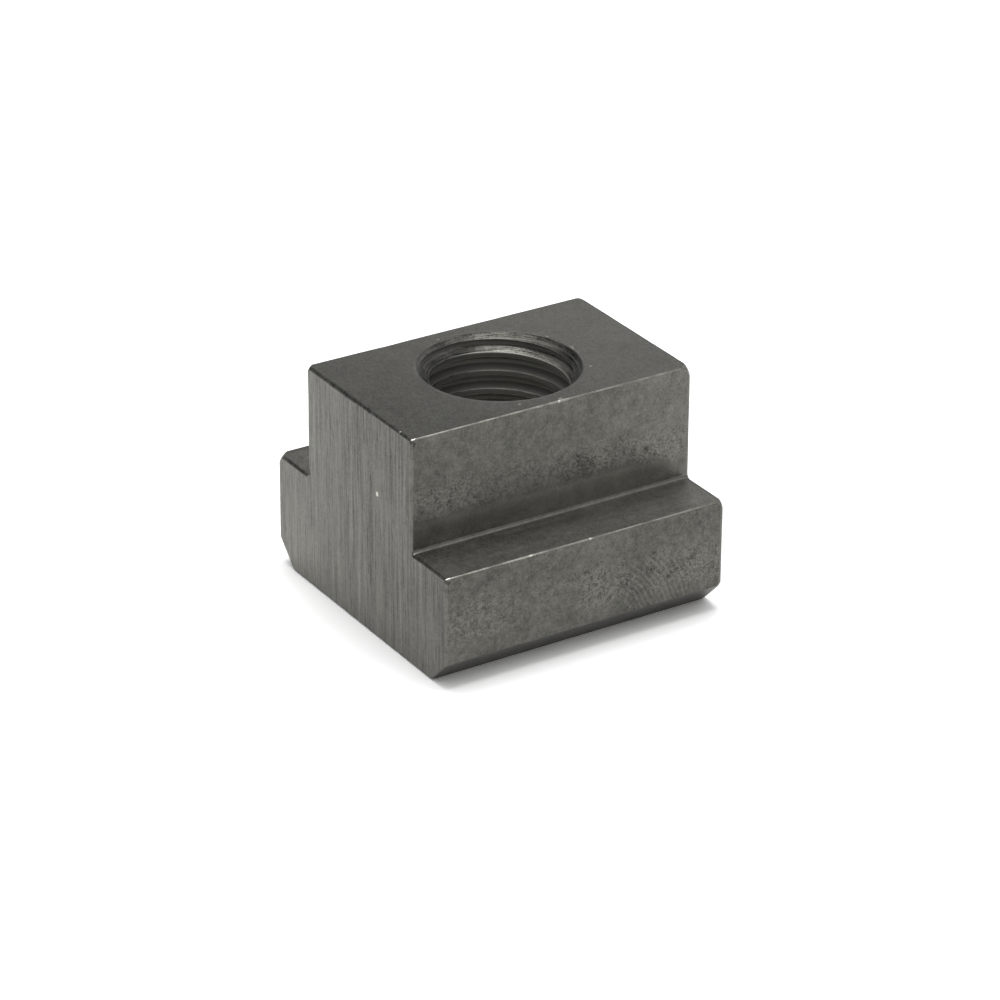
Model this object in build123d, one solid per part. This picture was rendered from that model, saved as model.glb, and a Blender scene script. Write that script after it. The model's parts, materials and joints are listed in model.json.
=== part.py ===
from build123d import *
from math import radians, sqrt, tan
import os

# A T-slot nut: one block of T section that slides along a machine table's slot, under the slot's
# lips, and takes a clamping screw. Lengths are in millimetres. X runs across the slot, Y along it
# and Z up the screw's axis. The origin is in the middle of the foot, the flange's lower face.

# The table's slot
slot_width = 20.0
slot_play = 0.3  # how much narrower the neck is

# The bar's T section
flange_width = 32.0
flange_height = 12.0
total_height = 24.0
foot_chamfer = 2.7  # at 45 degrees, along both lower corners
root_radius = 0.4  # where each side of the neck meets its shoulder
bar_edge_radius = 0.2  # along every outer corner

# The length sawn from the bar, and how each end's rim is broken
nut_length = 32.0
sawn_end_chamfer = 0.25  # the end at -Y, only deburred
dressed_end_radius = 0.55  # the end at +Y

# The tapped hole, which runs right through
thread_diameter = 16.0
thread_pitch = 2.0
countersink_angle = 90.0
countersink_margin = 0.25  # how much wider a countersink is than the thread

# What follows from those sizes. The solid has a plain bore where the thread's crests lie.
neck_width = slot_width - slot_play
thread_triangle = thread_pitch * sqrt(3) / 2
bore_diameter = thread_diameter - 1.25 * thread_triangle
countersink_diameter = thread_diameter + countersink_margin
countersink_depth = (countersink_diameter - bore_diameter) / 2 / tan(radians(countersink_angle / 2))


def bar_section():
    """The T section in the XZ plane, sharp outside and with its two roots rounded."""
    flange_side = flange_width / 2
    neck_side = neck_width / 2
    half_outline = Polyline(
        (0, 0),
        (flange_side - foot_chamfer, 0),
        (flange_side, foot_chamfer),
        (flange_side, flange_height),
        (neck_side, flange_height),
        (neck_side, total_height),
        (0, total_height),
        close=True,
    )
    half = make_face(half_outline)
    section = half + mirror(half, Plane.YZ)
    at_shoulders = section.vertices().filter_by_position(Axis.Y, flange_height, flange_height)
    roots = at_shoulders.sort_by(lambda corner: abs(corner.X))[:2]
    return Plane.XZ * fillet(roots, root_radius)


def sawn_block():
    """A length of the bar with the rims of both ends and its long outer corners broken."""
    block = extrude(bar_section(), nut_length / 2, both=True)
    dressed_end = block.faces().sort_by(Axis.Y)[-1]
    block = fillet(dressed_end.edges(), dressed_end_radius)
    sawn_end = block.faces().sort_by(Axis.Y)[0]
    block = chamfer(sawn_end.edges(), sawn_end_chamfer)
    rounded_faces = block.faces().filter_by(GeomType.CYLINDER)
    outer_corners = block.edges().filter_by(Axis.Y) - rounded_faces.edges()
    return fillet(outer_corners, bar_edge_radius)


def tapped_hole():
    """The space of the hole: a bore that opens through a countersink at the foot and at the top."""
    wall = bore_diameter / 2
    rim = countersink_diameter / 2
    half_outline = Polyline(
        (0, 0),
        (rim, 0),
        (wall, countersink_depth),
        (wall, total_height - countersink_depth),
        (rim, total_height),
        (0, total_height),
        close=True,
    )
    return revolve(Plane.XZ * make_face(half_outline), Axis.Z)


def t_slot_nut():
    """The finished nut, one solid."""
    return sawn_block() - tapped_hole()


os.makedirs("parts", exist_ok=True)
nut = t_slot_nut()
export_step(nut, "parts/t_slot_nut.step")

print(f"bore diameter {bore_diameter:.3f}, countersinks {countersink_depth:.3f} deep")
print(f"volume {nut.volume:.0f} mm3")
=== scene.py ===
import bpy
import json
from math import cos, pi, radians, sin, sqrt
from mathutils import Matrix, Vector, noise


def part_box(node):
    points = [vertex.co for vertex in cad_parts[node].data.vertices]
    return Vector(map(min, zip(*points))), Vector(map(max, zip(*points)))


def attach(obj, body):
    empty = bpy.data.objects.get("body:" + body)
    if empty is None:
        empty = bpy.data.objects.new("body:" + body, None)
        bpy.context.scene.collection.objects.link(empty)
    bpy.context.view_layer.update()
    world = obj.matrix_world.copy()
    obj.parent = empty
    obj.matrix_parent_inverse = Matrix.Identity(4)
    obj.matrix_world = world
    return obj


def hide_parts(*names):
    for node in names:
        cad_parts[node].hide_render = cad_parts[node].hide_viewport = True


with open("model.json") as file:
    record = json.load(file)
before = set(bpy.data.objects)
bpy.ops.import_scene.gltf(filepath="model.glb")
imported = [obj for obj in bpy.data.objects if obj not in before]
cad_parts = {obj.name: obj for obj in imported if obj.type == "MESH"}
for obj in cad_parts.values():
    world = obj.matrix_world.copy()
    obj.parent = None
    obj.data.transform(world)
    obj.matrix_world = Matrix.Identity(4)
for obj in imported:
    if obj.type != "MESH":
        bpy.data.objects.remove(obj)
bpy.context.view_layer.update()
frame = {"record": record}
mm = 0.001

# sizes that the frame gives
nutLow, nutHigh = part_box("t_slot_nut")
mounts = {mount["name"]: mount for mount in frame["record"]["mounts"]}
shoulderHeight = mounts["shoulder_right"]["pos_m"][2]
neckSide = mounts["neck_right"]["pos_m"][0]
boreRadius = mounts["tapped_hole"]["dims"]["r_mm"] * mm

# the same in millimetres, from which knocks, marks and finishes are placed
neck, flange = neckSide / mm, nutHigh.x / mm
shoulder, top = shoulderHeight / mm, nutHigh.z / mm
sawn, dressed = nutLow.y / mm, nutHigh.y / mm


def selectOnly(piece):
    if bpy.context.object and bpy.context.object.mode != "OBJECT":
        bpy.ops.object.mode_set(mode="OBJECT")
    bpy.ops.object.select_all(action="DESELECT")
    piece.select_set(True)
    bpy.context.view_layer.objects.active = piece


def placeInMesh(piece):
    selectOnly(piece)
    bpy.ops.object.transform_apply(location=True, rotation=True, scale=True)


def applyModifiers(piece):
    selectOnly(piece)
    for modifier in list(piece.modifiers):
        bpy.ops.object.modifier_apply(modifier=modifier.name)


def startPicking(piece, kind):
    # an empty selection of vertices, edges or faces; picks are made in object mode
    selectOnly(piece)
    bpy.ops.object.mode_set(mode="EDIT")
    bpy.ops.mesh.select_mode(type=kind)
    bpy.ops.mesh.select_all(action="DESELECT")
    bpy.ops.object.mode_set(mode="OBJECT")


def pickFaces(piece, test):
    # leaves the piece in edit mode with only the wanted faces selected
    startPicking(piece, "FACE")
    for face in piece.data.polygons:
        face.select = test(face.center, face.normal)
    bpy.ops.object.mode_set(mode="EDIT")


def pickEdges(piece, test):
    # the same for edges, told apart by their middle and their direction
    startPicking(piece, "EDGE")
    points = piece.data.vertices
    for edge in piece.data.edges:
        start, end = points[edge.vertices[0]].co, points[edge.vertices[1]].co
        edge.select = test((start + end) / 2, (end - start).normalized())
    bpy.ops.object.mode_set(mode="EDIT")


def pickPoints(piece, test):
    startPicking(piece, "VERT")
    for point in piece.data.vertices:
        point.select = test(point.co)
    bpy.ops.object.mode_set(mode="EDIT")


def near(a, b, slack=0.02 * mm):
    return abs(a - b) < slack


# the block, a length of T bar with worn edges
block = {
    "footChamfer": 2.7 * mm,
    "rootRadius": 0.4 * mm,
    "gridStep": 0.4 * mm,      # how finely the flats and edges are divided
    "gridMargin": 1.5 * mm,    # kept free beside each edge, for its bevel
    "longEdge": 0.095 * mm,    # how wide the bevel is on the long edges,
    "sawnEnd": 0.25 * mm,      # round the sawn end
    "dressedEnd": 0.55 * mm,   # and round the other end
    "widest": 1.4 * mm,        # no bevel is wider than this
    "bevelSteps": 4,           # divisions across each bevel
    "slowWander": 1.3 * mm,    # a bevel's width wanders in waves about this long,
    "quickWander": 0.5 * mm,   # and in shorter and weaker ones
    "quickShare": 0.6,
    "unevenness": 0.3,         # share by which the width wanders
    "sawnUnevenness": 2.4,     # how many times more it wanders round the sawn end
    # corners knocked round by handling: which corner of the section, its side (1 right, -1 left),
    # its end (1 dressed, -1 sawn) and its radius in mm
    "corners": [
        ("neck", 1, 1, 2.3), ("neck", -1, 1, 1.2), ("shoulder", 1, 1, 1.7), ("shoulder", -1, 1, 1.5),
        ("hip", 1, 1, 1.9), ("hip", -1, 1, 1.7), ("foot", 1, 1, 1.3), ("foot", -1, 1, 1.3),
        ("shoulder", -1, -1, 2.0), ("hip", -1, -1, 1.5), ("foot", -1, -1, 2.0), ("neck", -1, -1, 1.2),
        ("foot", 1, -1, 1.3),
    ],
    "ballSteps": 96,           # divisions round each rounding's sphere
    "cornerPlay": 0.02 * mm,   # how far each rounding stands off the edges that it runs out into
    # knocks on the edges: where, how much wider the bevel is there, and how far each reaches, in mm
    "knocks": [
        ((neck, 0.6, top), 0.45, 0.6), ((neck, 8.2, top), 0.16, 0.5), ((neck, 12, top), 0.2, 0.5),
        ((neck, sawn, top), 0.35, 0.8), ((-neck, -6.8, top), 0.4, 0.8), ((-neck, 5.2, top), 0.2, 0.6),
        ((flange, -6.4, shoulder), 0.2, 0.5), ((flange, -8.5, shoulder), 0.15, 0.5),
        ((flange, 0.3, shoulder), 0.25, 0.6), ((flange, sawn, shoulder), 0.3, 0.8),
        ((-flange, 3, shoulder), 0.25, 0.6), ((-flange, -10.4, shoulder), 0.2, 0.5),
        ((-4.7, sawn, top), 0.3, 0.5), ((-2.1, sawn, top), 0.35, 0.8), ((-0.4, sawn, top), 0.25, 0.5),
        ((1.9, sawn, top), 0.4, 0.6), ((4.6, sawn, top), 0.15, 0.4), ((7.6, sawn, top), 0.2, 0.4),
        ((-3.1, dressed, top), 0.25, 0.7), ((12.7, dressed, shoulder), 0.2, 0.6),
    ],
}


def tBar():
    size = nutHigh - nutLow
    bpy.ops.object.select_all(action="DESELECT")
    bpy.ops.mesh.primitive_cube_add(
        size=1, location=(0, 0, shoulderHeight / 2), scale=(size.x, size.y, shoulderHeight))
    bar = bpy.context.object
    bar.name = "t_nut"
    placeInMesh(bar)
    # two cuts mark the neck on the flange, and the strip between them is pulled up
    for side in (-neckSide, neckSide):
        pickFaces(bar, lambda centre, normal: normal.z > 0.9)
        bpy.ops.mesh.bisect(plane_co=(side, 0, 0), plane_no=(1, 0, 0))
    pickFaces(bar, lambda centre, normal: normal.z > 0.9 and abs(centre.x) < neckSide)
    bpy.ops.mesh.extrude_region_move(TRANSFORM_OT_translate={"value": (0, 0, nutHigh.z - shoulderHeight)})
    # foot chamfers and rounded roots
    pickEdges(bar, lambda middle, along: abs(along.y) > 0.9 and near(middle.z, nutLow.z))
    bpy.ops.mesh.bevel(offset=block["footChamfer"], segments=1, affect="EDGES")
    pickEdges(bar, lambda middle, along: abs(along.y) > 0.9
              and near(abs(middle.x), neckSide) and near(middle.z, shoulderHeight))
    bpy.ops.mesh.bevel(offset=block["rootRadius"], segments=block["bevelSteps"], affect="EDGES")
    bpy.ops.mesh.select_all(action="SELECT")
    bpy.ops.mesh.dissolve_limited(angle_limit=radians(1))
    bpy.ops.object.mode_set(mode="OBJECT")
    return bar


def cutPlaces(low, high):
    # evenly spaced cuts between two edges, clear of both
    room = high - low - 2 * block["gridMargin"]
    steps = max(1, round(room / block["gridStep"]))
    return [low + block["gridMargin"] + room * step / steps for step in range(steps + 1)]


def divide(bar):
    # every flat is cut into a fine grid, so that each edge can wear unevenly along its length
    footSide = nutHigh.x - block["footChamfer"]
    across = cutPlaces(-footSide, -neckSide) + cutPlaces(-neckSide, neckSide) + cutPlaces(neckSide, footSide)
    along = cutPlaces(nutLow.y, nutHigh.y)
    up = cutPlaces(block["footChamfer"], shoulderHeight) + cutPlaces(shoulderHeight, nutHigh.z)
    selectOnly(bar)
    bpy.ops.object.mode_set(mode="EDIT")
    for axis, places in (((1, 0, 0), across), ((0, 1, 0), along), ((0, 0, 1), up)):
        direction = Vector(axis)
        for place in places:
            bpy.ops.mesh.select_all(action="SELECT")
            bpy.ops.mesh.bisect(plane_co=direction * place, plane_no=direction)
    bpy.ops.object.mode_set(mode="OBJECT")


def edgeWidth(middle):
    # how wide the bevel is at this place on an edge
    wander = noise.noise(middle / block["slowWander"])
    wander += block["quickShare"] * noise.noise(middle / block["quickWander"])
    if near(middle.y, nutHigh.y):
        width = block["dressedEnd"]
    elif near(middle.y, nutLow.y):
        width = block["sawnEnd"]
        wander *= block["sawnUnevenness"]
    else:
        width = block["longEdge"]
    width *= 1 + block["unevenness"] * wander
    for place, extra, reach in block["knocks"]:
        gap = (middle - Vector(place) * mm).length
        width += extra * mm * max(0, 1 - gap / (reach * mm))
    return min(width, block["widest"])


def wearEdges(bar):
    startPicking(bar, "EDGE")
    bpy.ops.object.mode_set(mode="EDIT")
    bpy.ops.mesh.edges_select_sharp(sharpness=radians(40))
    bpy.ops.object.mode_set(mode="OBJECT")
    weights = bar.data.attributes.new("bevel_weight_edge", "FLOAT", "EDGE")
    points = bar.data.vertices
    for edge, weight in zip(bar.data.edges, weights.data):
        if edge.select:
            middle = (points[edge.vertices[0]].co + points[edge.vertices[1]].co) / 2
            weight.value = edgeWidth(middle) / block["widest"]
    bevel = bar.modifiers.new("wear", "BEVEL")
    bevel.limit_method = "WEIGHT"
    bevel.width = block["widest"]
    bevel.segments = block["bevelSteps"]
    bevel.use_clamp_overlap = False
    applyModifiers(bar)


def cut(bar, cutter):
    boolean = bar.modifiers.new("cut", "BOOLEAN")
    boolean.operation = "DIFFERENCE"
    boolean.solver = "MANIFOLD"
    boolean.object = cutter
    applyModifiers(bar)
    bpy.data.objects.remove(cutter)


def cornerCutter(corner, facing, first, second, radius):
    # what lies beyond a sphere set into the corner, which runs out into the three edges there
    lean = first.dot(second)
    rim = block["dressedEnd"] if facing.y > 0 else block["sawnEnd"]
    inward = radius * sqrt((1 + lean) / 2)
    fromEnd = rim + sqrt((radius - rim) ** 2 - (inward - rim) ** 2)
    centre = corner - (first + second) * inward / (1 + lean) - facing * fromEnd
    bpy.ops.object.select_all(action="DESELECT")
    bpy.ops.mesh.primitive_cube_add(size=3 * radius, location=centre)
    cutter = bpy.context.object
    placeInMesh(cutter)
    bpy.ops.object.mode_set(mode="EDIT")
    for towards in (facing, second - first * lean, first - second * lean):
        bpy.ops.mesh.select_all(action="SELECT")
        bpy.ops.mesh.bisect(plane_co=centre, plane_no=towards, use_fill=True, clear_inner=True)
    bpy.ops.object.mode_set(mode="OBJECT")
    bpy.ops.object.select_all(action="DESELECT")
    bpy.ops.mesh.primitive_uv_sphere_add(
        segments=block["ballSteps"], ring_count=block["ballSteps"] // 2,
        radius=radius + block["cornerPlay"], location=centre)
    ball = bpy.context.object
    placeInMesh(ball)
    cut(cutter, ball)
    return cutter


def roundCorners(bar):
    up, down = Vector((0, 0, 1)), Vector((0, 0, -1))
    for name, side, end, radius in block["corners"]:
        outward = Vector((side, 0, 0))
        slope = (outward + down).normalized()
        # half width, height, and the two faces that meet there besides the end
        x, z, first, second = {
            "neck": (neckSide, nutHigh.z, outward, up),
            "shoulder": (nutHigh.x, shoulderHeight, outward, up),
            "hip": (nutHigh.x, block["footChamfer"], outward, slope),
            "foot": (nutHigh.x - block["footChamfer"], nutLow.z, slope, down),
        }[name]
        corner = Vector((side * x, nutHigh.y if end > 0 else nutLow.y, z))
        cut(bar, cornerCutter(corner, Vector((0, end, 0)), first, second, radius * mm))


# the tap and the countersinks, which cut the hole
hole = {
    "pitch": 2.0 * mm,
    "majorRadius": 8.0 * mm,
    "crestAngle": 148,           # degrees from +X, where the topmost whole crest is
    "crestDepth": 1.73 * mm,     # this far under the top
    "rounding": 0.07 * mm,       # on the corners of crest and root
    "steps": 144,                # divisions of one turn
    "sinkRadius": 8.42 * mm,
    "shelf": 0.3 * mm,           # the pressed-down ring inside each rim: its width and its depth
    "shelfDepth": 0.03 * mm,
    "weld": 0.002 * mm,          # points of a turned profile closer than this are one
}


def traceProfile(name, points):
    # one vertex, pulled out point by point into a line
    bpy.ops.object.select_all(action="DESELECT")
    bpy.ops.mesh.primitive_plane_add(size=mm)
    profile = bpy.context.object
    profile.name = name
    bpy.ops.object.mode_set(mode="EDIT")
    bpy.ops.mesh.select_mode(type="VERT")
    bpy.ops.mesh.select_all(action="SELECT")
    bpy.ops.mesh.merge(type="CENTER")
    bpy.ops.transform.translate(value=points[0])
    for start, end in zip(points, points[1:]):
        bpy.ops.mesh.extrude_vertices_move(TRANSFORM_OT_translate={"value": Vector(end) - Vector(start)})
    bpy.ops.object.mode_set(mode="OBJECT")
    return profile


def turn(profile, rise, turns):
    # spins the line round Z, climbing by rise each turn, and closes it into a solid
    screw = profile.modifiers.new("turn", "SCREW")
    screw.axis = "Z"
    screw.angle = 2 * pi
    screw.screw_offset = rise
    screw.iterations = turns
    screw.steps = screw.render_steps = hole["steps"]
    applyModifiers(profile)
    bpy.ops.object.mode_set(mode="EDIT")
    bpy.ops.mesh.select_all(action="SELECT")
    bpy.ops.mesh.remove_doubles(threshold=hole["weld"])
    bpy.ops.mesh.fill_holes(sides=0)
    bpy.ops.mesh.select_mode(type="FACE")
    bpy.ops.mesh.select_face_by_sides(number=4, type="GREATER", extend=False)
    bpy.ops.mesh.poke()
    bpy.ops.mesh.select_all(action="SELECT")
    bpy.ops.mesh.normals_make_consistent(inside=False)
    bpy.ops.object.mode_set(mode="OBJECT")


def threadTap():
    # one pitch of the thread's profile, from the middle of one crest to the middle of the next
    pitch, inner, outer = hole["pitch"], boreRadius, hole["majorRadius"]
    crest, root = pitch / 4, pitch / 8
    flank = (pitch - crest - root) / 2
    crestMiddle = nutHigh.z - hole["crestDepth"] - crest / 2 - pitch * hole["crestAngle"] / 360
    start = crestMiddle - pitch * (int((crestMiddle - nutLow.z) / pitch) + 2)
    heights = [0, crest / 2, crest / 2 + flank, crest / 2 + flank + root, pitch - crest / 2, pitch]
    radii = [inner, inner, outer, outer, inner, inner]
    tap = traceProfile("tap", [(radius, 0, start + height) for radius, height in zip(radii, heights)])
    pickPoints(tap, lambda place: start + mm / 100 < place.z < start + pitch - mm / 100)
    bpy.ops.mesh.bevel(offset=hole["rounding"], segments=3, affect="VERTICES")
    turn(tap, pitch, int((nutHigh.z - start) / pitch) + 2)
    return tap


def countersink(face, outward):
    # a cone with a narrow, nearly flat ring at its rim, and a lid clear of the nut's face
    outer, inner, tip = hole["sinkRadius"], hole["sinkRadius"] - hole["shelf"], 0.5 * boreRadius
    deep = hole["shelfDepth"] + inner - tip
    profile = [(0, deep), (tip, deep), (inner, hole["shelfDepth"]), (outer, 0),
               (outer + hole["shelf"], -mm), (0, -mm)]
    cutter = traceProfile("countersink", [(radius, 0, face - outward * depth) for radius, depth in profile])
    turn(cutter, 0, 1)
    return cutter


bar = tBar()
divide(bar)
wearEdges(bar)
roundCorners(bar)
print("block:", len(bar.data.polygons), "faces")
cut(bar, threadTap())
cut(bar, countersink(nutHigh.z, 1))
cut(bar, countersink(nutLow.z, -1))
selectOnly(bar)
bpy.ops.object.shade_smooth_by_angle(angle=radians(35))
flats = bar.modifiers.new("flats", "WEIGHTED_NORMAL")
flats.keep_sharp = True
applyModifiers(bar)
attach(bar, "root")
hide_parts("t_slot_nut")
print("nut:", len(bar.data.polygons), "faces")


def setInputs(tree, node, inputs):
    # a socket is linked to its input, and any other value is set on it
    for name, value in inputs.items():
        if isinstance(value, bpy.types.NodeSocket):
            tree.links.new(value, node.inputs[name])
        else:
            node.inputs[name].default_value = value


def addNode(tree, kind, inputs=None, **settings):
    node = tree.nodes.new("ShaderNode" + kind)
    for name, value in settings.items():
        setattr(node, name, value)
    setInputs(tree, node, inputs or {})
    return node


def calc(tree, operation, first, second=0.0):
    return addNode(tree, "Math", {0: first, 1: second}, operation=operation).outputs[0]


def plus(tree, first, second):
    return calc(tree, "ADD", first, second)


def minus(tree, first, second):
    return calc(tree, "SUBTRACT", first, second)


def times(tree, first, second):
    return calc(tree, "MULTIPLY", first, second)


def fade(tree, value, low, high, toLow=0.0, toHigh=1.0):
    # a smooth step: toLow at low and beyond it, toHigh at high
    inputs = {"Value": value, "From Min": low, "From Max": high, "To Min": toLow, "To Max": toHigh}
    return addNode(tree, "MapRange", inputs, interpolation_type="SMOOTHSTEP").outputs["Result"]


def stretch(tree, place, factors):
    return addNode(tree, "VectorMath", {0: place, 1: factors}, operation="MULTIPLY").outputs[0]


def cloud(tree, place, scale, detail=2.0, roughness=0.5, distortion=0.0):
    inputs = {"Vector": place, "Scale": scale, "Detail": detail, "Roughness": roughness,
              "Distortion": distortion}
    return addNode(tree, "TexNoise", inputs).outputs["Fac"]


def newGroup(name, inputs, outputs):
    # inputs: label to default value, where a Vector stands for a place; outputs: labels of plain values
    group = bpy.data.node_groups.new(name, "ShaderNodeTree")
    for label, value in inputs.items():
        kind = "NodeSocketVector" if isinstance(value, Vector) else "NodeSocketFloat"
        group.interface.new_socket(label, in_out="INPUT", socket_type=kind).default_value = value
    for label in outputs:
        group.interface.new_socket(label, in_out="OUTPUT", socket_type="NodeSocketFloat")
    return group, group.nodes.new("NodeGroupInput").outputs, group.nodes.new("NodeGroupOutput").inputs


def useGroup(tree, group, inputs):
    node = tree.nodes.new("ShaderNodeGroup")
    node.node_tree = group
    setInputs(tree, node, inputs)
    return node.outputs


# shared effects, as node groups; places and sizes are in millimetres
def shrink(group, place, size):
    # the place in units of size
    inputs = {0: place, "Scale": calc(group, "DIVIDE", 1.0, size)}
    return addNode(group, "VectorMath", inputs, operation="SCALE").outputs[0]


def between(group, place, other):
    return addNode(group, "VectorMath", {0: place, 1: other}, operation="DISTANCE").outputs["Value"]


def oxideClouds():
    # slow patches, mottling and fine grain of the blackened skin, each round 0.5
    group, given, made = newGroup(
        "oxide clouds", {"Place": Vector(), "Cloud Size": 4.0, "Grain Size": 0.2},
        ["Clouds", "Mottle", "Grain"])
    large = shrink(group, given["Place"], given["Cloud Size"])
    group.links.new(cloud(group, large, 1.0, 3.0, 0.6, 0.4), made["Clouds"])
    small = shrink(group, given["Place"], given["Grain Size"])
    group.links.new(cloud(group, small, 0.3, 3.0, 0.6, 0.3), made["Mottle"])
    group.links.new(cloud(group, small, 1.0, 2.0, 0.6), made["Grain"])
    return group


def pitting():
    # small worm-shaped pits with paler rims; Density 0 leaves hardly any and 1 crowds them
    group, given, made = newGroup(
        "pitting", {"Place": Vector(), "Pit Size": 0.3, "Density": 0.5}, ["Pits", "Rims"])
    field = cloud(group, shrink(group, given["Place"], given["Pit Size"]), 1.0, 2.0, 0.55, 0.6)
    limit = plus(group, times(group, given["Density"], 0.17), 0.28)
    over = minus(group, limit, field)      # above 0 inside a pit
    group.links.new(fade(group, over, -0.015, 0.04), made["Pits"])
    rim = times(group, fade(group, over, -0.08, -0.03), fade(group, over, -0.025, 0.0, 1.0, 0.0))
    group.links.new(rim, made["Rims"])
    return group


def etching():
    # thin wriggling grooves with paler ground between them, where Density is above 0
    group, given, made = newGroup(
        "etching", {"Place": Vector(), "Spacing": 0.4, "Density": 0.5}, ["Grooves", "Ground"])
    field = cloud(group, shrink(group, given["Place"], given["Spacing"]), 1.0, 1.5, 0.5, 0.8)
    off = calc(group, "ABSOLUTE", minus(group, field, 0.5))
    group.links.new(times(group, fade(group, off, 0.035, 0.005), given["Density"]), made["Grooves"])
    group.links.new(times(group, fade(group, off, 0.04, 0.11), given["Density"]), made["Ground"])
    return group


def toolLines():
    # fine lines left by a tool: they run along Y of the place and vary along X
    group, given, made = newGroup(
        "tool lines", {"Place": Vector(), "Line Width": 0.3, "Line Length": 8.0}, ["Lines", "Scores"])
    across = calc(group, "DIVIDE", 1.0, given["Line Width"])
    along = calc(group, "DIVIDE", 1.0, given["Line Length"])
    factors = addNode(group, "CombineXYZ", {0: across, 1: along, 2: along})
    place = stretch(group, given["Place"], factors.outputs[0])
    broad = cloud(group, place, 0.28, 2.0, 0.6, 0.1)
    fine = cloud(group, place, 0.8, 4.0, 0.75, 0.05)
    group.links.new(plus(group, times(group, broad, 0.35), times(group, fine, 0.65)), made["Lines"])
    deep = cloud(group, stretch(group, place, (0.9, 2.4, 2.4)), 1.0, 1.0, 0.5, 0.15)
    group.links.new(fade(group, deep, 0.38, 0.3), made["Scores"])
    return group


def edgeRub():
    # bright where the skin is rubbed off beside the long edge at Half Width and Height
    group, given, made = newGroup(
        "edge rub", {"Place": Vector(), "Half Width": 9.85, "Height": 24.0, "Reach": 0.4}, ["Rub"])
    parts = addNode(group, "SeparateXYZ", {0: given["Place"]}).outputs
    sideways = minus(group, calc(group, "ABSOLUTE", parts[0]), given["Half Width"])
    upward = minus(group, parts[2], given["Height"])
    gap = plus(group, times(group, sideways, sideways), times(group, upward, upward))
    gap = calc(group, "POWER", gap, 0.5)
    ragged = cloud(group, given["Place"], 0.9, 3.0, 0.65)
    reach = times(group, given["Reach"], times(group, ragged, 2.0))
    group.links.new(fade(group, calc(group, "DIVIDE", gap, reach), 1.0, 0.5), made["Rub"])
    return group


def brightChips():
    # a few tiny chips down to clean metal
    group, given, made = newGroup(
        "bright chips", {"Place": Vector(), "Spacing": 2.0, "Share": 0.2}, ["Chips"])
    place = shrink(group, given["Place"], given["Spacing"])
    cells = addNode(group, "TexVoronoi", {"Vector": place, "Scale": 1.0}).outputs
    chance = addNode(group, "SeparateColor", {0: cells["Color"]}).outputs
    chosen = calc(group, "LESS_THAN", chance[0], given["Share"])
    inside = calc(group, "LESS_THAN", cells["Distance"], times(group, chance[1], 0.07))
    group.links.new(times(group, chosen, inside), made["Chips"])
    return group


def cutterArcs():
    # sweeps of a milling cutter about a centre beside the part
    group, given, made = newGroup(
        "cutter arcs", {"Place": Vector(), "Centre": Vector(), "Step": 0.5}, ["Arcs"])
    gap = between(group, given["Place"], given["Centre"])
    wobble = times(group, cloud(group, given["Place"], 0.5, 2.0), 0.5)
    steps = calc(group, "DIVIDE", plus(group, gap, wobble), given["Step"])
    wave = calc(group, "SINE", times(group, steps, 2 * pi))
    group.links.new(plus(group, times(group, wave, 0.5), 0.5), made["Arcs"])
    return group


def oneNick():
    # a single small nick of uneven outline round Centre
    group, given, made = newGroup("nick", {"Place": Vector(), "Centre": Vector(), "Size": 0.2}, ["Nick"])
    gap = between(group, given["Place"], given["Centre"])
    uneven = times(group, cloud(group, given["Place"], 4.0, 2.0), 2.0)
    ratio = calc(group, "DIVIDE", gap, times(group, given["Size"], uneven))
    group.links.new(fade(group, ratio, 1.1, 0.8), made["Nick"])
    return group


clouds, pits, lines, rub = oxideClouds(), pitting(), toolLines(), edgeRub()
chips, arcs, nicks, etched = brightChips(), cutterArcs(), oneNick(), etching()

tint = (1.0, 0.985, 0.885)    # the slight warmth of black oxide

# marks placed one by one: where they are, in mm, their size and how bright they are
spots = {
    # knocked in along the sawn end's top rim, and one spot of clean metal there
    "dings": ([(-4.7, -15.95, 23.85), (-2.7, -15.9, 23.95), (-2.2, -15.95, 23.85), (1.2, -15.95, 23.9),
               (1.7, -15.8, 24), (2.1, -15.95, 23.8)], 0.2, 0.035),
    "cleanSpot": ([(7.7, -15.85, 24)], 0.12, 0.5),
    # torn metal round the mouth of the hole
    "burrs": ([(4.75, 7.5, 24), (0, 8.4, 24), (0.35, 8.35, 23.95), (-8.4, -1.9, 24), (-3.4, 7.7, 24),
               (8.5, -3.1, 24)], 0.15, 0.3),
    "endNick": ([(3.5, sawn, 15.7)], 0.24, 0.5),
    "topHit": ([(9.5, 0.9, top)], 0.22, 0.32),
    "sideDents": ([(neck, -15.75, 23.45), (flange, -15.75, 11.45)], 0.28, 0.05),
    "edgeNicks": ([(neck, -15.6, top), (flange, -15.6, shoulder), (neck, 0.6, top),
                   (flange, -6.4, shoulder), (flange, 0.3, shoulder)], 0.17, 0.65),
}

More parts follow.
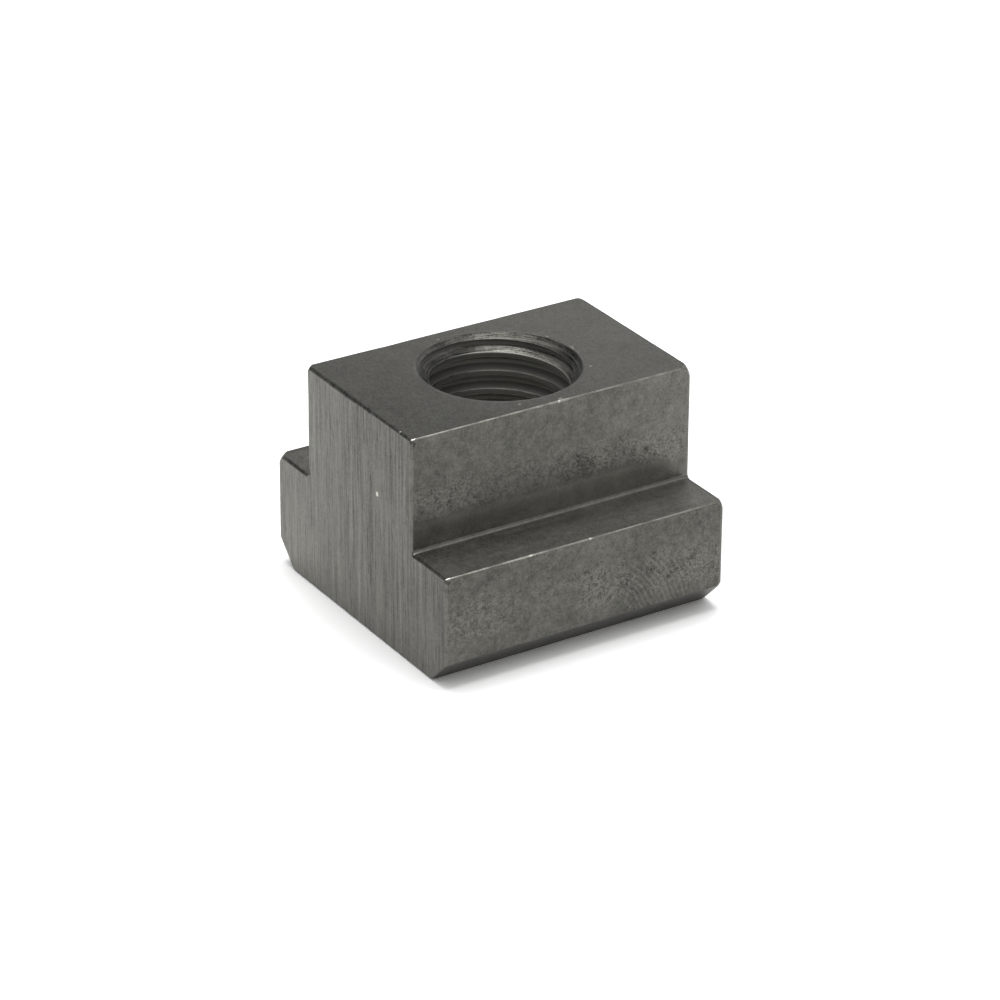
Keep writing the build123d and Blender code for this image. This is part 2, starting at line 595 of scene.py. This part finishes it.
# each finish: its brightness (shadeTo where it changes along the piece), roughness, the size of its slow
# clouds and of its grain in mm, and its chips as spacing in mm, share of places that have one, brightness
finishes = {
    "sawn end": {"shade": 0.146, "shadeTo": 0.114, "paintedFootLight": 0.032, "rough": 0.42,
                 "clouds": 5.0, "grain": 0.24, "chips": (3.5, 0.2, 0.26)},
    "milled side": {"shade": 0.104, "rough": 0.44, "stripRough": 0.38,
                    "clouds": 3.5, "grain": 0.22, "chips": (2.2, 0.12, 0.28)},
    "shoulder": {"shade": 0.114, "shadeTo": 0.142, "shadeLeft": 0.1, "rough": 0.52, "metallic": 0.85,
                 "clouds": 3.0, "grain": 0.24, "chips": (3.0, 0.3, 0.5)},
    "top": {"shade": 0.082, "shadeTo": 0.143, "rough": 0.42,
            "clouds": 4.0, "grain": 0.24, "chips": (2.5, 0.15, 0.25)},
    "cut thread": {"shade": 0.072, "shadeTo": 0.1, "rough": 0.27, "dullRough": 0.65,
                   "clouds": 2.0, "grain": 0.2},
    "painted light flank": {"shade": 0.44, "shadeTo": 0.28, "rough": 0.7, "metallic": 0.0,
                    "clouds": 1.5, "grain": 0.2},
    "thread crest": {"shade": 0.4, "shadeTo": 0.18, "rough": 0.45, "clouds": 1.5, "grain": 0.2},
    "countersink": {"shade": 0.085, "shadeTo": 0.135, "rough": 0.34,
                    "clouds": 1.6, "grain": 0.2, "chips": (0.8, 0.4, 0.5)},
    "hole rim": {"shade": 0.115, "rough": 0.42, "clouds": 2.0, "grain": 0.22, "chips": (0.8, 0.4, 0.45)},
    "worn edge": {"shade": 0.26, "shadeTo": 0.4, "skinShade": 0.17, "rough": 0.36,
                  "clouds": 2.4, "grain": 0.25},
    "neck root": {"shade": 0.14, "rough": 0.31, "clouds": 3.0, "grain": 0.25, "chips": (2.0, 0.3, 0.35)},
    "bare corner": {"shade": 0.85, "rough": 0.35, "clouds": 1.0, "grain": 0.25},
    "end rim": {"shade": 0.13, "shadeTo": 0.065, "rough": 0.42,
                "clouds": 1.5, "grain": 0.25, "chips": (0.8, 0.2, 0.3)},
    "foot": {"shade": 0.11, "rough": 0.42, "clouds": 4.0, "grain": 0.24},
}

# zones of the sides and rims, in mm above the foot or along the bar. In each pair the zone isn't yet there
# at the first number and is whole at the second; two more numbers are the values at those places
zones = {
    "neck": (11.9, 12.1),
    "strip": (15.1, 14.7),         # the smooth strip above the root, whose upper edge
    "stripSinks": (7.0, 16.0, 0.0, 0.9),   # lies lower by this much towards the dressed end
    "stripShade": (12.9, 14.4, 1.18, 0.96),
    "neckPits": ((14.9, 15.6), (19.4, 17.4)),
    "flangePits": ((3.2, 5.6), (9.6, 7.8)),
    "fewerPits": ((-10.0, -6.5), (1.0, -2.0)),
    "arcsAlong": ((3.0, 6.0), (14.0, 10.0)),
    "arcsBelow": (8.5, 6.5),
    "arcCentre": (16.0, -2.0, -1.0),
    "arcStep": 0.52,
    "flangeRim": ((10.0, 10.2), (11.3, 11.6)),    # outwards from the middle, and up
    "topRim": (23.4, 23.7),
}

# the same for the hole, most of it painted light and shade: by height, by distance from the axis, or by
# heading, which is 1 towards lightSide and -1 away from it
paintedHoleLight = {
    "deep": (21.9, 21.3),          # height below which the thread turns matt and pale, painted light in its shade
    "root": (7.7, 7.9),            # distances at which the roots and the crests turn matt and pale, painted light too
    "crest": (7.02, 6.97),
    # painted light: roots and crests paler the deeper they lie, and deepGain brightens the deep thread
    # further
    "rootShade": (21.6, 22.4, 0.42, 0.16),
    "crestShade": (21.0, 22.0, 0.14, 0.11),
    "flankShade": (7.35, 7.0, 0.124, 0.122),
    "deepGain": (17.0, 19.5, 1.2, 1.0),
    "underside": (18.5, 20.5),
    "cone": (7.95, 7.6),
    # painted light and shade by heading: the thread lighter towards lightSide and darker away from it, the
    # countersink darker on that side
    "lightSide": (0.53, 0.85, 0.0),
    "cleanHeading": (-0.2, 0.5),
    "dullHeading": (-0.95, -0.15, 0.55, 1.0),
    "crestHeading": (-0.8, -0.2, 0.3, 1.0),
    "coneHeading": (0.7, 0.95, 1.0, 0.45),
}


class Finish:
    # a material under way: its tree, its shader, its skin, and the place on the piece in millimetres
    def __init__(self, name):
        self.values = finishes[name]
        self.shade = self.values["shade"]
        self.shadeTo = self.values.get("shadeTo", self.shade)
        self.material = bpy.data.materials.new(name)
        self.material.use_nodes = True
        self.tree = self.material.node_tree
        self.shader = self.tree.nodes["Principled BSDF"]
        self.metallic(self.values.get("metallic", 1.0))
        self.roughness(self.values["rough"])
        coordinates = addNode(self.tree, "TexCoord").outputs["Object"]
        self.place = stretch(self.tree, coordinates, (1 / mm, 1 / mm, 1 / mm))
        self.x, self.y, self.z = addNode(self.tree, "SeparateXYZ", {0: self.place}).outputs
        skin = self.use(clouds, Cloud_Size=self.values["clouds"], Grain_Size=self.values["grain"])
        self.clouds, self.mottle, self.grain = skin["Clouds"], skin["Mottle"], skin["Grain"]

    def plus(self, first, second):
        return plus(self.tree, first, second)

    def minus(self, first, second):
        return minus(self.tree, first, second)

    def times(self, first, second):
        return times(self.tree, first, second)

    def larger(self, first, second):
        return calc(self.tree, "MAXIMUM", first, second)

    def fade(self, *words):
        return fade(self.tree, *words)

    def use(self, group, **inputs):
        named = {name.replace("_", " "): value for name, value in inputs.items()}
        return useGroup(self.tree, group, {"Place": self.place, **named})

    def mix(self, first, second, share):
        return addNode(self.tree, "Mix", {0: share, 2: first, 3: second}, data_type="FLOAT").outputs[0]

    def tone(self, parts, base):
        # base brightness plus each value's swing round 0.5
        total = base
        for value, amount in parts:
            total = self.plus(total, self.times(self.minus(value, 0.5), amount))
        return total

    def nicked(self, bright, *names):
        for name in names:
            places, size, shade = spots[name]
            for place in places:
                mark = self.use(nicks, Centre=Vector(place), Size=size)["Nick"]
                bright = self.mix(bright, shade, mark)
        return bright

    def chipped(self, bright):
        spacing, share, shade = self.values["chips"]
        return self.mix(bright, shade, self.use(chips, Spacing=spacing, Share=share)["Chips"])

    def colour(self, brightness):
        scaled = addNode(self.tree, "VectorMath", {0: tint, "Scale": brightness}, operation="SCALE")
        setInputs(self.tree, self.shader, {"Base Color": scaled.outputs[0]})

    def metallic(self, value):
        setInputs(self.tree, self.shader, {"Metallic": value})

    def roughness(self, value):
        setInputs(self.tree, self.shader, {"Roughness": value})

    def bump(self, height, distance):
        made = addNode(self.tree, "Bump", {"Height": height, "Distance": distance * mm})
        setInputs(self.tree, self.shader, {"Normal": made.outputs[0]})


def sawnEndFinish():
    look = Finish("sawn end")
    upright = addNode(look.tree, "CombineXYZ", {0: look.x, 1: look.z, 2: look.y}).outputs[0]
    fine = look.use(lines, Place=upright, Line_Width=0.15, Line_Length=6.0)
    broad = look.use(lines, Place=upright, Line_Width=0.55, Line_Length=24.0)
    # painted light: lighter to the left, where more light falls, and lighter towards the foot, standing in
    # for light that the floor's shadow takes from its reflection
    base = look.fade(look.x, -9.0, 0.0, look.shade, look.shadeTo)
    base = look.plus(base, look.fade(look.z, 9.0, 0.0, 0.0, look.values["paintedFootLight"]))
    bright = look.tone([(fine["Lines"], 0.4), (broad["Lines"], 0.12), (look.clouds, 0.04),
                        (look.mottle, 0.05), (look.grain, 0.1)], base)
    bright = look.minus(bright, look.times(fine["Scores"], 0.045))
    bright = look.chipped(look.nicked(bright, "dings", "cleanSpot"))
    look.colour(look.nicked(bright, "endNick"))
    look.bump(look.minus(fine["Lines"], look.times(fine["Scores"], 0.15)), 0.05)
    return look.material


def sideFinish():
    look = Finish("milled side")
    onNeck = look.fade(look.z, *zones["neck"])
    # above its root the neck has a smoother strip, left by the cutter's corner
    lifted = look.plus(look.z, look.fade(look.y, *zones["stripSinks"]))
    ragged = look.tone([(look.mottle, 1.2)], lifted)
    strip = look.times(look.fade(ragged, *zones["strip"]), onNeck)
    # pits crowd in a band above that strip and in loose patches along the middle of the flange
    patches = look.fade(cloud(look.tree, look.place, 0.22, 3.0, 0.6), 0.42, 0.58)
    neckBand, flangeBand, thin, swept = [
        look.times(look.fade(way, *rise), look.fade(way, *fall))
        for way, (rise, fall) in (
            (ragged, zones["neckPits"]), (ragged, zones["flangePits"]),
            (look.y, zones["fewerPits"]), (look.y, zones["arcsAlong"]))]
    onFlange = look.larger(patches, look.fade(look.y, 3.0, -5.0, 0.0, 0.7))
    crowd = look.plus(look.times(neckBand, look.plus(0.75, look.times(patches, 0.3))),
                      look.times(flangeBand, onFlange))
    crowd = look.times(crowd, look.fade(thin, 0.0, 1.0, 1.1, 0.6))
    density = look.plus(look.times(crowd, 0.45), look.times(patches, 0.35))
    pit = look.use(pits, Pit_Size=0.36, Density=look.minus(density, strip))
    worm = look.use(etched, Spacing=0.55, Density=look.times(crowd, look.minus(1.0, strip)))
    # the cutter's sweeps show low on the flange
    swept = look.times(swept, look.fade(look.z, *zones["arcsBelow"]))
    sweep = look.use(arcs, Centre=Vector(zones["arcCentre"]), Step=zones["arcStep"])["Arcs"]
    sweep = look.times(look.minus(sweep, 0.5), swept)
    # painted reflection: the neck is lighter towards the dressed end, where it mirrors more of the lit floor
    base = look.plus(look.shade, look.times(look.fade(look.y, 2.0, 12.0, 0.005, 0.024), onNeck))
    bright = look.tone([(look.clouds, 0.09), (look.mottle, 0.11), (look.grain, 0.1)], base)
    for mask, gain in ((sweep, 0.032), (worm["Grooves"], -0.038), (worm["Ground"], 0.032),
                       (pit["Pits"], -0.014), (pit["Rims"], 0.03)):
        bright = look.plus(bright, look.times(mask, gain))
    drag = look.use(lines, Line_Width=0.35, Line_Length=14.0)
    smooth = look.mix(look.fade(look.y, -6.0, 6.0, 0.15, 0.168), 0.105, look.fade(look.y, 9.0, 15.0))
    smooth = look.tone([(look.clouds, 0.1), (look.mottle, 0.07), (drag["Lines"], 0.2), (look.grain, 0.09)],
                       smooth)
    smooth = look.times(smooth, look.fade(look.z, *zones["stripShade"]))
    bright = look.nicked(look.mix(bright, smooth, strip), "sideDents")
    rubbed = look.larger(look.use(rub, Half_Width=neck, Height=top, Reach=0.05)["Rub"],
                         look.use(rub, Half_Width=flange, Height=shoulder, Reach=0.05)["Rub"])
    look.colour(look.chipped(look.mix(bright, 0.3, rubbed)))
    look.roughness(look.mix(look.values["rough"], look.values["stripRough"], strip))
    height = look.tone([(look.grain, 0.6), (look.mottle, 0.3), (pit["Pits"], -0.5)], 0.0)
    look.bump(look.plus(height, look.times(sweep, 0.5)), 0.03)
    return look.material


def shoulderFinish():
    look = Finish("shoulder")
    drag = look.use(lines, Line_Width=0.3, Line_Length=6.0)
    # painted light: the left shoulder is darker, and the right one lighter towards the dressed end, where it
    # mirrors the lit neck
    base = look.mix(look.values["shadeLeft"], look.fade(look.y, -10.0, 12.0, look.shade, look.shadeTo),
                    look.fade(look.x, -2.0, 2.0))
    bright = look.tone([(look.clouds, 0.1), (look.mottle, 0.11), (look.grain, 0.16),
                        (drag["Lines"], 0.14)], base)
    look.colour(look.chipped(bright))
    look.bump(look.tone([(look.grain, 0.5), (drag["Lines"], 0.6)], 0.0), 0.02)
    return look.material


def topFinish():
    look = Finish("top")
    # painted reflection: lighter towards the dressed end and the left, where the top mirrors the brighter
    # room, and darker towards the sawn end and its right corner
    away = look.minus(look.y, look.times(look.x, 0.6))
    base = look.fade(away, -24.0, 22.0, look.shade, look.shadeTo)
    bright = look.tone([(look.clouds, 0.05), (look.mottle, 0.08), (look.grain, 0.14)], base)
    look.colour(look.nicked(look.chipped(bright), "topHit", "dings", "cleanSpot", "burrs"))
    look.bump(look.grain, 0.02)
    return look.material


def fromAxis(look):
    level = stretch(look.tree, look.place, (1.0, 1.0, 0.0))
    return addNode(look.tree, "VectorMath", {0: level}, operation="LENGTH").outputs["Value"]


def aroundAxis(look):
    level = stretch(look.tree, look.place, (1.0, 1.0, 0.0))
    return addNode(look.tree, "VectorMath", {0: level}, operation="NORMALIZE").outputs[0]


def unrolled(look):
    # the hole's wall laid out: across is the way along a radius or up, and along is the way round
    turned = addNode(look.tree, "SeparateXYZ", {0: aroundAxis(look)}).outputs
    girth = hole["majorRadius"] / mm
    parts = {0: look.plus(fromAxis(look), look.z),
             1: look.times(turned[0], girth), 2: look.times(turned[1], girth)}
    return addNode(look.tree, "CombineXYZ", parts).outputs[0]


def leaning(look):
    # 1 on the hole's light side, -1 on the opposite one
    inputs = {0: aroundAxis(look), 1: paintedHoleLight["lightSide"]}
    return addNode(look.tree, "VectorMath", inputs, operation="DOT_PRODUCT").outputs["Value"]


def threadFinish():
    look = Finish("cut thread")
    marks = look.use(lines, Place=unrolled(look), Line_Width=0.1, Line_Length=3.0)
    distance, side = fromAxis(look), leaning(look)
    deep = look.fade(look.z, *paintedHoleLight["deep"])
    # the crests, the roots and the thread deep down are matt with a pale colour, painted light in their
    # shade
    root, crest = look.fade(distance, *paintedHoleLight["root"]), look.fade(distance, *paintedHoleLight["crest"])
    # painted light: the clean metal lighter towards lightSide
    base = look.fade(side, *paintedHoleLight["cleanHeading"], look.shade, look.shadeTo)
    clean = look.tone([(marks["Lines"], 0.75), (look.clouds, 0.12), (look.grain, 0.14)], base)
    mattLift = look.fade(distance, *paintedHoleLight["flankShade"])
    mattLift = look.mix(mattLift, look.fade(look.z, *paintedHoleLight["rootShade"]), root)
    mattLift = look.mix(mattLift, look.fade(look.z, *paintedHoleLight["crestShade"]), crest)
    mattLift = look.tone([(marks["Lines"], 0.06), (look.grain, 0.03)], mattLift)
    # painted shade away from lightSide, and painted light brighter deeper down
    mattLift = look.times(mattLift, look.fade(side, *paintedHoleLight["dullHeading"]))
    mattLift = look.times(mattLift, look.fade(look.z, *paintedHoleLight["deepGain"]))
    rootOrCrest = look.larger(root, crest)
    mattLiftShare = look.larger(deep, rootOrCrest)
    look.colour(look.mix(clean, mattLift, mattLiftShare))
    look.metallic(look.mix(1.0, look.mix(0.3, 0.0, rootOrCrest), mattLiftShare))
    look.roughness(look.mix(look.values["rough"], look.values["dullRough"], mattLiftShare))
    look.bump(marks["Lines"], 0.04)
    return look.material


def underFlankFinish():
    look = Finish("painted light flank")
    # painted light: the downward faces are pale and matt, paler the deeper they lie, where they stand in
    # shade
    base = look.fade(look.z, *paintedHoleLight["underside"], look.shade, look.shadeTo)
    look.colour(look.tone([(look.clouds, 0.06), (look.grain, 0.05)], base))
    look.bump(look.grain, 0.01)
    return look.material


def crestFinish():
    look = Finish("thread crest")
    # painted light: the crest corners paler deep in the hole, and painted shade away from lightSide
    base = look.fade(look.z, *paintedHoleLight["deep"], look.shade, look.shadeTo)
    base = look.times(base, look.fade(leaning(look), *paintedHoleLight["crestHeading"]))
    look.colour(look.tone([(look.clouds, 0.3), (look.grain, 0.2)], base))
    look.bump(look.grain, 0.01)
    return look.material


def sinkFinish():
    look = Finish("countersink")
    marks = look.use(lines, Place=unrolled(look), Line_Width=0.1, Line_Length=3.0)
    # painted reflection: the cone lighter towards its inner edge, and painted shade towards lightSide, where
    # its faces look away from the light
    base = look.fade(fromAxis(look), *paintedHoleLight["cone"], look.shade, look.shadeTo)
    base = look.times(base, look.fade(leaning(look), *paintedHoleLight["coneHeading"]))
    bright = look.tone([(marks["Lines"], 0.6), (look.clouds, 0.12), (look.grain, 0.16)], base)
    bright = look.minus(bright, look.times(marks["Scores"], 0.07))
    look.colour(look.nicked(look.chipped(bright), "burrs"))
    look.bump(marks["Lines"], 0.05)
    return look.material


def rimFinish():
    look = Finish("hole rim")
    marks = look.use(lines, Place=unrolled(look), Line_Width=0.1, Line_Length=2.0)
    bright = look.tone([(marks["Lines"], 0.5), (look.clouds, 0.06), (look.grain, 0.14)], look.shade)
    look.colour(look.nicked(look.chipped(bright), "burrs"))
    look.bump(marks["Lines"], 0.05)
    return look.material


def wornEdgeFinish():
    look = Finish("worn edge")
    bare = look.fade(look.clouds, 0.3, 0.6)
    # most rubbed beside the sawn end
    rubbed = look.tone([(look.grain, 0.3)], look.fade(look.y, 16.0, -14.0, look.shade, look.shadeTo))
    skin = look.tone([(look.grain, 0.1)], look.values["skinShade"])
    look.colour(look.nicked(look.mix(skin, rubbed, bare), "edgeNicks"))
    look.bump(look.grain, 0.01)
    return look.material


def rootFinish():
    look = Finish("neck root")
    bright = look.tone([(look.clouds, 0.1), (look.mottle, 0.06), (look.grain, 0.1)], look.shade)
    look.colour(look.chipped(bright))
    look.bump(look.grain, 0.01)
    return look.material


def bareFinish():
    look = Finish("bare corner")
    look.colour(look.tone([(look.grain, 0.3)], look.shade))
    look.bump(look.grain, 0.02)
    return look.material


def endRimFinish():
    look = Finish("end rim")
    # painted shade: the rims below a flat face are darker than the upright ones
    outward, upward = zones["flangeRim"]
    onFlange = look.times(look.fade(calc(look.tree, "ABSOLUTE", look.x), *outward),
                          look.fade(look.z, *upward))
    level = look.larger(onFlange, look.fade(look.z, *zones["topRim"]))
    base = look.mix(look.shade, look.shadeTo, level)
    bright = look.tone([(look.clouds, 0.1), (look.mottle, 0.08), (look.grain, 0.1)], base)
    look.colour(look.nicked(look.chipped(bright), "dings", "cleanSpot"))
    look.bump(look.grain, 0.02)
    return look.material


def footFinish():
    look = Finish("foot")
    drag = look.use(lines, Line_Width=0.3, Line_Length=7.0)
    look.colour(look.tone([(look.clouds, 0.06), (look.mottle, 0.06), (look.grain, 0.14),
                           (drag["Lines"], 0.14)], look.shade))
    look.bump(look.tone([(look.grain, 0.5), (drag["Lines"], 0.5)], 0.0), 0.02)
    return look.material


def giveFinish(piece, material, test):
    piece.data.materials.append(material)
    pickFaces(piece, test)
    piece.active_material_index = len(piece.data.materials) - 1
    bpy.ops.object.material_slot_assign()
    bpy.ops.object.mode_set(mode="OBJECT")


def onFoot(centre, normal):
    return normal.z < -0.3


def onEnd(centre, normal):
    return abs(normal.y) > 0.995


def onShoulder(centre, normal):
    return normal.z > 0.98 and centre.z < shoulderHeight + 0.2 * mm


def onTop(centre, normal):
    return normal.z > 0.98 and centre.z > nutHigh.z - 0.2 * mm


def onLongEdge(centre, normal):
    # the bevels along the neck's top and the flange's top, but not the roots
    slanted = abs(normal.y) < 0.5 and abs(normal.x) > 0.1 and normal.z > 0.1
    return slanted and (centre.z > nutHigh.z - mm or abs(centre.x) > nutHigh.x - mm)


def onEndRim(centre, normal):
    return 0.1 < abs(normal.y) < 0.995 and abs(centre.y) > nutHigh.y - 1.2 * mm


def inRoot(centre, normal):
    slanted = abs(normal.x) > 0.1 and 0.05 < normal.z < 0.98
    return slanted and abs(centre.x) < neckSide + 0.5 * mm and near(centre.z, shoulderHeight, 0.5 * mm)


def onBareCorner(centre, normal):
    corners = Vector((neckSide, nutLow.y, nutHigh.z)), Vector((nutHigh.x, nutLow.y, shoulderHeight))
    gap = min((centre - corner).length for corner in corners)
    return gap < 0.8 * mm and abs(normal.y) > 0.2 and normal.x > 0.2 and normal.z > 0.2


def radiusOf(centre):
    return Vector((centre.x, centre.y)).length


def inHole(centre, normal):
    onOpenFace = near(centre.z, nutHigh.z) or near(centre.z, nutLow.z)
    level = abs(normal.z) > 0.999
    return radiusOf(centre) < hole["sinkRadius"] + 0.2 * mm and not (level and onOpenFace)


def inSink(centre, normal):
    # the cones: faces close to either opening whose depth is that of the cone at their radius
    depth = max(centre.z - nutLow.z, 0) if centre.z < nutHigh.z / 2 else nutHigh.z - centre.z
    coneDepth = hole["sinkRadius"] - hole["shelf"] - radiusOf(centre) + hole["shelfDepth"]
    return inHole(centre, normal) and depth < 1.3 * mm and near(depth, coneDepth, 0.06 * mm)


def onRim(centre, normal):
    # the nearly flat ring inside each opening
    depth = min(abs(centre.z - nutHigh.z), abs(centre.z - nutLow.z))
    return inHole(centre, normal) and abs(normal.z) > 0.93 and depth < 0.2 * mm


def underFlank(centre, normal):
    # what faces down between the countersinks, with the lower corner of each crest
    return inHole(centre, normal) and normal.z < -0.1 and 1.2 * mm < centre.z < nutHigh.z - 1.2 * mm


def onCrest(centre, normal):
    # the upper corner of each crest
    return radiusOf(centre) < boreRadius + 0.12 * mm and 0.12 < normal.z < 0.75 and inHole(centre, normal)


# the side's finish covers everything, and each later one takes its own faces from it
bar.data.materials.clear()
bar.data.materials.append(sideFinish())
for makeFinish, test in (
        (footFinish, onFoot), (shoulderFinish, onShoulder), (topFinish, onTop), (sawnEndFinish, onEnd),
        (endRimFinish, onEndRim), (wornEdgeFinish, onLongEdge), (rootFinish, inRoot),
        (bareFinish, onBareCorner), (threadFinish, inHole), (underFlankFinish, underFlank),
        (sinkFinish, inSink), (rimFinish, onRim), (crestFinish, onCrest)):
    giveFinish(bar, makeFinish(), test)
print("finishes:", len(bar.data.materials))


# floor, light and camera
studio = {
    "floorColour": 0.88,       # the floor as it lights the nut
    "mirroredColour": 1.07,    # the floor as the metal shows it
    "seenColour": 1.2,         # and as the camera sees it
    "floorSize": 6.0,          # metres
    "room": 1.1,               # strength of the room's light
    # the room's brightness by height, as sine of the angle: behind the camera and on the far side
    "nearSide": [(0.0, 0.9), (0.13, 0.9), (0.24, 0.28), (0.55, 0.28), (0.75, 0.8), (1.0, 1.0)],
    "farSide": [(0.0, 0.9), (0.13, 0.9), (0.24, 0.46), (0.5, 0.46), (0.68, 0.85), (1.0, 1.0)],
    "lampAt": (-0.04, 0.02, 0.5),
    "lampSize": 0.26,
    "lampPower": 1.5,          # watts
}


def addFloor():
    bpy.ops.object.select_all(action="DESELECT")
    bpy.ops.mesh.primitive_plane_add(size=studio["floorSize"], location=(0, 0, nutLow.z))
    floor = bpy.context.object
    floor.name = "floor"
    placeInMesh(floor)
    paint = bpy.data.materials.new("white floor")
    paint.use_nodes = True
    tree = paint.node_tree
    rays = addNode(tree, "LightPath").outputs
    mirrored = calc(tree, "MAXIMUM", rays["Is Glossy Ray"], rays["Is Transmission Ray"])
    shade = fade(tree, mirrored, 0.0, 1.0, studio["floorColour"], studio["mirroredColour"])
    shade = fade(tree, rays["Is Camera Ray"], 0.0, 1.0, shade, studio["seenColour"])
    matt = addNode(tree, "BsdfDiffuse", {"Color": shade})
    tree.nodes.remove(tree.nodes["Principled BSDF"])
    tree.links.new(matt.outputs[0], tree.nodes["Material Output"].inputs["Surface"])
    floor.data.materials.append(paint)


def ramp(tree, value, stops):
    made = addNode(tree, "ValToRGB", {0: value})
    bands = made.color_ramp.elements
    # a new ramp already has two bands
    for band, (position, shade) in zip(bands, stops):
        band.position = position
        band.color = (shade, shade, shade, 1)
    for position, shade in stops[2:]:
        bands.new(position).color = (shade, shade, shade, 1)
    return made.outputs[0]


def lightRoom():
    # a white horizon, a dimmer band of room above it, and a bright ceiling; the far side is lighter
    world = bpy.data.worlds.new("room")
    bpy.context.scene.world = world
    world.use_nodes = True
    tree = world.node_tree
    heading = addNode(tree, "SeparateXYZ", {0: addNode(tree, "TexCoord").outputs["Generated"]}).outputs
    nearSide = ramp(tree, heading[2], studio["nearSide"])
    farSide = ramp(tree, heading[2], studio["farSide"])
    share = fade(tree, heading[1], -0.5, 0.5)
    colour = addNode(tree, "Mix", {0: share, 6: nearSide, 7: farSide}, data_type="RGBA").outputs[2]
    setInputs(tree, tree.nodes["Background"], {"Color": colour, "Strength": studio["room"]})


def addLamp():
    bpy.ops.object.select_all(action="DESELECT")
    place = Vector(studio["lampAt"])
    bpy.ops.object.light_add(type="AREA", location=place, rotation=place.to_track_quat("Z", "Y").to_euler())
    lamp = bpy.context.object
    lamp.data.size = studio["lampSize"]
    lamp.data.energy = studio["lampPower"]


view = {
    "azimuth": 57.81,          # degrees, from the sawn end's side round to the right
    "elevation": 26.54,
    "roll": 0.24,
    "distance": 400.3 * mm,
    "lens": 146.1,             # focal length in mm, for a sensor 36 mm wide
    "sensor": 36,
    "aimHeight": 12 * mm,
    "aimRight": 0.08 * mm,     # the aim's shift along the camera's own right and up
    "aimUp": -2.35 * mm,
}


def placeCamera():
    turnBy, lift, tilt = radians(view["azimuth"]), radians(view["elevation"]), radians(view["roll"])
    back = Vector((sin(turnBy) * cos(lift), -cos(turnBy) * cos(lift), sin(lift)))
    level = Vector((cos(turnBy), sin(turnBy), 0))
    steep = back.cross(level)
    right = cos(tilt) * level + sin(tilt) * steep
    up = cos(tilt) * steep - sin(tilt) * level
    aim = Vector((0, 0, view["aimHeight"])) + right * view["aimRight"] + up * view["aimUp"]
    bpy.ops.object.select_all(action="DESELECT")
    bpy.ops.object.camera_add()
    camera = bpy.context.object
    camera.data.lens = view["lens"]
    camera.data.sensor_width = view["sensor"]
    camera.data.clip_start = 0.01
    camera.data.clip_end = 20
    turned = Matrix((right, up, back)).transposed().to_4x4()
    camera.matrix_world = Matrix.Translation(aim + back * view["distance"]) @ turned
    bpy.context.scene.camera = camera


addFloor()
lightRoom()
addLamp()
placeCamera()
bpy.context.scene.view_settings.view_transform = "Standard"
print("room: floor, lamp and camera placed")
